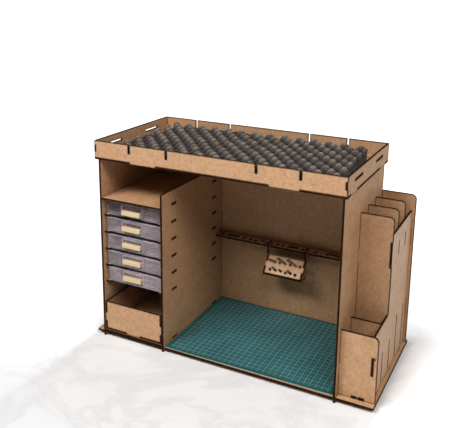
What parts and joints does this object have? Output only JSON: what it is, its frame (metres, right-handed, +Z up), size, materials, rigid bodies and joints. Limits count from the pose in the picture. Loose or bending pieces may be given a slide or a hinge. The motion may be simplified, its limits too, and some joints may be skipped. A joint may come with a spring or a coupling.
{
  "type": "hobby workstation organizer",
  "caption": "Tabletop hobby cabinet of slotted fibreboard: clear parts drawers, open work bay with cutting mat and tool rack, side brush holder, padded tray on top.",
  "frame": {"origin": "middle of the bounding box, on the surface that the feet stand on", "axes": "+X to the right as seen from the front, along the longest side; +Y from the drawer fronts to the back panel; +Z up"},
  "size_m": [0.5092, 0.229, 0.3646],
  "materials": {
    "mdf": "bare laser-cut fibreboard, matt, with dark burned edges",
    "clear_plastic": "clear moulded plastic with a faint smoky tint",
    "handle_wood": "pale wood, fine grain, rounded edges",
    "mat": "matt green cutting mat with a thin pale grid",
    "foam": "dark grey egg-crate foam"
  },
  "bodies": {
    "root": {"back_panel": "mdf", "base_plate": "mdf", "divider_panel": "mdf", "drawer_runner_left_1": "mdf", "drawer_runner_left_2": "mdf", "drawer_runner_left_3": "mdf", "drawer_runner_left_4": "mdf", "drawer_runner_left_5": "mdf", "drawer_runner_right_1": "mdf", "drawer_runner_right_2": "mdf", "drawer_runner_right_3": "mdf", "drawer_runner_right_4": "mdf", "drawer_runner_right_5": "mdf", "foam_liner": "foam", "holder_cross_panel_1": "mdf", "holder_cross_panel_2": "mdf", "holder_cross_panel_3": "mdf", "holder_front_panel": "mdf", "holder_low_divider_1": "mdf", "holder_low_divider_2": "mdf", "holder_low_divider_3": "mdf", "holder_low_divider_4": "mdf", "holder_outer_panel": "mdf", "left_side_panel": "mdf", "module_floor": "mdf", "module_shelf": "mdf", "right_side_panel": "mdf", "tool_rack_shelf": "mdf", "tray_back_wall": "mdf", "tray_floor": "mdf", "tray_front_wall": "mdf", "tray_left_wall": "mdf", "tray_right_wall": "mdf"},
    "drawer_1": {"drawer_1_box": "clear_plastic", "drawer_1_handle": "handle_wood"},
    "drawer_2": {"drawer_2_box": "clear_plastic", "drawer_2_handle": "handle_wood"},
    "drawer_3": {"drawer_3_box": "clear_plastic", "drawer_3_handle": "handle_wood"},
    "drawer_4": {"drawer_4_box": "clear_plastic", "drawer_4_handle": "handle_wood"},
    "drawer_5": {"drawer_5_box": "clear_plastic", "drawer_5_handle": "handle_wood"},
    "bottom_drawer": {"bottom_drawer_back": "mdf", "bottom_drawer_floor": "mdf", "bottom_drawer_front": "mdf", "bottom_drawer_left": "mdf", "bottom_drawer_right": "mdf"},
    "bit_holder": {"bit_holder_bottom": "mdf", "bit_holder_face": "mdf", "bit_holder_left_cheek": "mdf", "bit_holder_right_cheek": "mdf"},
    "cutting_mat": {"cutting_mat": "mat"}
  },
  "joints": [
    {"name": "drawer_1_slide", "type": "slide", "parent": "root", "child": "drawer_1", "axis": [0, -1, 0], "range_m": [0, 0.15]},
    {"name": "drawer_2_slide", "type": "slide", "parent": "root", "child": "drawer_2", "axis": [0, -1, 0], "range_m": [0, 0.15]},
    {"name": "drawer_3_slide", "type": "slide", "parent": "root", "child": "drawer_3", "axis": [0, -1, 0], "range_m": [0, 0.15]},
    {"name": "drawer_4_slide", "type": "slide", "parent": "root", "child": "drawer_4", "axis": [0, -1, 0], "range_m": [0, 0.15]},
    {"name": "drawer_5_slide", "type": "slide", "parent": "root", "child": "drawer_5", "axis": [0, -1, 0], "range_m": [0, 0.15]},
    {"name": "bottom_drawer_slide", "type": "slide", "parent": "root", "child": "bottom_drawer", "axis": [0, -1, 0], "range_m": [0, 0.16]},
    {"name": "bit_holder_lift", "type": "slide", "parent": "root", "child": "bit_holder", "axis": [0, 0, 1], "range_m": [0, 0.03]},
    {"name": "cutting_mat_slide", "type": "slide", "parent": "root", "child": "cutting_mat", "axis": [0, -1, 0], "range_m": [0, 0.2]}
  ]
}
